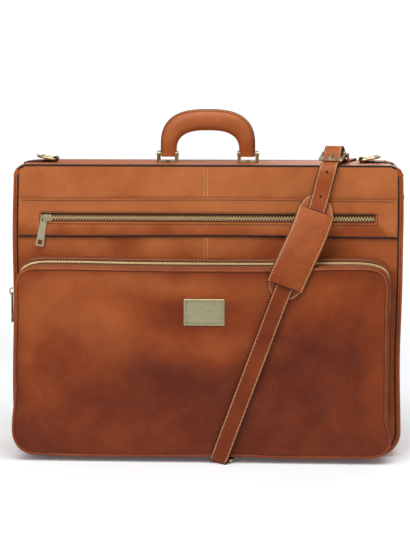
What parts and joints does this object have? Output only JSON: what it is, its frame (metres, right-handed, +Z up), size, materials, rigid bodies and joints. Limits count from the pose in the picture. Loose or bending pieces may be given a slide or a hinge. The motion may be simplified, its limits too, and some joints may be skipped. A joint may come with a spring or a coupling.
{
  "type": "garment bag",
  "caption": "Folding leather garment bag with a carrying handle, a zipped pocket, a bellows pocket and a shoulder strap.",
  "frame": {"origin": "middle of the footprint at floor level, on the resting face of the rear half", "axes": "+X along the width, to the right as seen from the front, +Y to the back, +Z up"},
  "size_m": [0.5876, 0.2008, 0.5158],
  "materials": {
    "case_leather": "full-grain vegetable-tanned leather, waxed, semi-gloss",
    "band_leather": "full-grain vegetable-tanned leather, waxed, semi-gloss",
    "pocket_leather": "full-grain vegetable-tanned leather, waxed, semi-gloss",
    "strap_leather": "full-grain vegetable-tanned leather, waxed, semi-gloss",
    "handle_leather": "full-grain vegetable-tanned leather, waxed, semi-gloss",
    "lining_fabric": "cotton twill",
    "zip_tape": "woven tape",
    "zip_brass": "bright drawn",
    "antique_brass": "antique, brushed",
    "stiffener": "pressed fibreboard",
    "steel": "plain"
  },
  "bodies": {
    "rear_half": {"rear_panel": "case_leather", "rear_gusset": "band_leather", "rear_zip_tape": "zip_tape", "rear_zip_teeth": "zip_brass", "rear_lining": "lining_fabric", "zip_end_tabs": "band_leather", "garment_straps": "strap_leather", "garment_strap_buckles": "antique_brass", "hanger_bracket": "antique_brass", "hanger_rivets": "antique_brass", "shoulder_strap_rear": "strap_leather", "rear_hook_eye": "antique_brass"},
    "spine": {"spine_stiffener": "stiffener", "spine_leather": "case_leather", "handle_brackets": "antique_brass", "handle_rivets": "antique_brass", "handle_backing_plates": "steel", "d_ring_tabs": "strap_leather", "shoulder_strap_tip": "strap_leather", "shoulder_strap_top": "strap_leather", "buckle_frame": "antique_brass", "strap_keeper": "strap_leather"},
    "front_half": {"front_panel": "case_leather", "front_gusset": "band_leather", "front_zip_tape": "zip_tape", "front_zip_teeth": "zip_brass", "front_lining": "lining_fabric", "zip_pocket_panel": "case_leather", "upper_zip_tape": "zip_tape", "upper_zip_teeth": "zip_brass", "zip_pocket_pouch": "lining_fabric", "pocket_panel": "pocket_leather", "pocket_gusset": "pocket_leather", "pocket_zip_strips": "pocket_leather", "pocket_zip_tape": "zip_tape", "pocket_zip_teeth": "zip_brass", "pocket_piping": "band_leather", "blank_plaque": "antique_brass", "plaque_pins": "antique_brass", "shoulder_strap_front": "strap_leather", "shoulder_pad_base": "strap_leather", "shoulder_pad_cover": "strap_leather", "front_hook_eye": "antique_brass"},
    "handle": {"handle_grip": "handle_leather", "handle_core": "steel", "handle_pins": "antique_brass"},
    "left_ring": {"d_ring_left": "antique_brass"},
    "right_ring": {"d_ring_right": "antique_brass"},
    "upper_slider": {"upper_zip_slider": "zip_brass"},
    "upper_pull": {"upper_zip_pull": "zip_brass"},
    "case_slider": {"case_zip_slider": "antique_brass"},
    "case_pull": {"case_zip_pull": "antique_brass"},
    "pocket_slider": {"pocket_zip_slider": "antique_brass"},
    "pocket_pull": {"pocket_zip_pull": "antique_brass"},
    "prong": {"buckle_prong": "antique_brass"},
    "bail": {"hanger_bail": "antique_brass"},
    "front_swivel": {"front_hook": "antique_brass"},
    "front_gate": {"front_hook_gate": "antique_brass"},
    "rear_swivel": {"rear_hook": "antique_brass"},
    "rear_gate": {"rear_hook_gate": "antique_brass"}
  },
  "joints": [
    {"name": "rear_fold", "type": "hinge", "parent": "rear_half", "child": "spine", "pos_m": [0, 0.062, 0.4307], "axis": [1, 0, 0], "range_deg": [-90, 0]},
    {"name": "front_fold", "type": "hinge", "parent": "spine", "child": "front_half", "pos_m": [0, -0.062, 0.4307], "axis": [1, 0, 0], "range_deg": [-90, 0]},
    {"name": "handle_swing", "type": "hinge", "parent": "spine", "child": "handle", "pos_m": [0, 0, 0.4485], "axis": [1, 0, 0], "range_deg": [-86, 86]},
    {"name": "left_ring_swing", "type": "hinge", "parent": "spine", "child": "left_ring", "pos_m": [-0.232, 0, 0.4405], "axis": [0, 1, 0], "range_deg": [0, 150]},
    {"name": "right_ring_swing", "type": "hinge", "parent": "spine", "child": "right_ring", "pos_m": [0.232, 0, 0.4405], "axis": [0, -1, 0], "range_deg": [0, 110]},
    {"name": "upper_zip_slide", "type": "slide", "parent": "front_half", "child": "upper_slider", "axis": [1, 0, 0], "range_m": [0, 0.472]},
    {"name": "upper_pull_sway", "type": "hinge", "parent": "upper_slider", "child": "upper_pull", "pos_m": [-0.2407, -0.0661, 0.35675], "axis": [0, 1, 0], "range_deg": [-45, 30]},
    {"name": "case_zip_slide", "type": "slide", "parent": "rear_half", "child": "case_slider", "axis": [0, 0, -1], "range_m": [0, 0.33]},
    {"name": "case_pull_lift", "type": "hinge", "parent": "case_slider", "child": "case_pull", "pos_m": [0.2914, -0.008, 0.3824], "axis": [0, -1, 0], "range_deg": [0, 90]},
    {"name": "pocket_zip_turn", "type": "hinge", "parent": "front_half", "child": "pocket_slider", "pos_m": [-0.24, -0.086, 0.249], "axis": [0, 1, 0], "range_deg": [0, 90]},
    {"name": "pocket_pull_lift", "type": "hinge", "parent": "pocket_slider", "child": "pocket_pull", "pos_m": [-0.2864, -0.086, 0.2464], "axis": [0, 1, 0], "range_deg": [0, 90]},
    {"name": "prong_lift", "type": "hinge", "parent": "spine", "child": "prong", "pos_m": [0.19002, -0.03206, 0.453], "axis": [-0.9659, 0.2588, 0], "range_deg": [0, 8]},
    {"name": "hanger_bail_swing", "type": "hinge", "parent": "rear_half", "child": "bail", "pos_m": [0, 0.051, 0.07], "axis": [1, 0, 0], "range_deg": [0, 90]},
    {"name": "front_hook_swivel", "type": "hinge", "parent": "front_half", "child": "front_swivel", "pos_m": [0.027, -0.104, 0.0042], "axis": [0.6428, 0.766, 0], "range_deg": [-90, 90]},
    {"name": "front_gate_open", "type": "hinge", "parent": "front_swivel", "child": "front_gate", "pos_m": [0.03988, -0.08009, 0.0042], "axis": [0, 0, -1], "range_deg": [0, 25], "stiffness_Nm_per_rad": 0.05},
    {"name": "rear_hook_swivel", "type": "hinge", "parent": "rear_half", "child": "rear_swivel", "pos_m": [0.215, 0.073, 0.088], "axis": [0, 0, -1], "range_deg": [-90, 90]},
    {"name": "rear_gate_open", "type": "hinge", "parent": "rear_swivel", "child": "rear_gate", "pos_m": [0.2095, 0.073, 0.0614], "axis": [0, -1, 0], "range_deg": [0, 25], "stiffness_Nm_per_rad": 0.05}
  ]
}
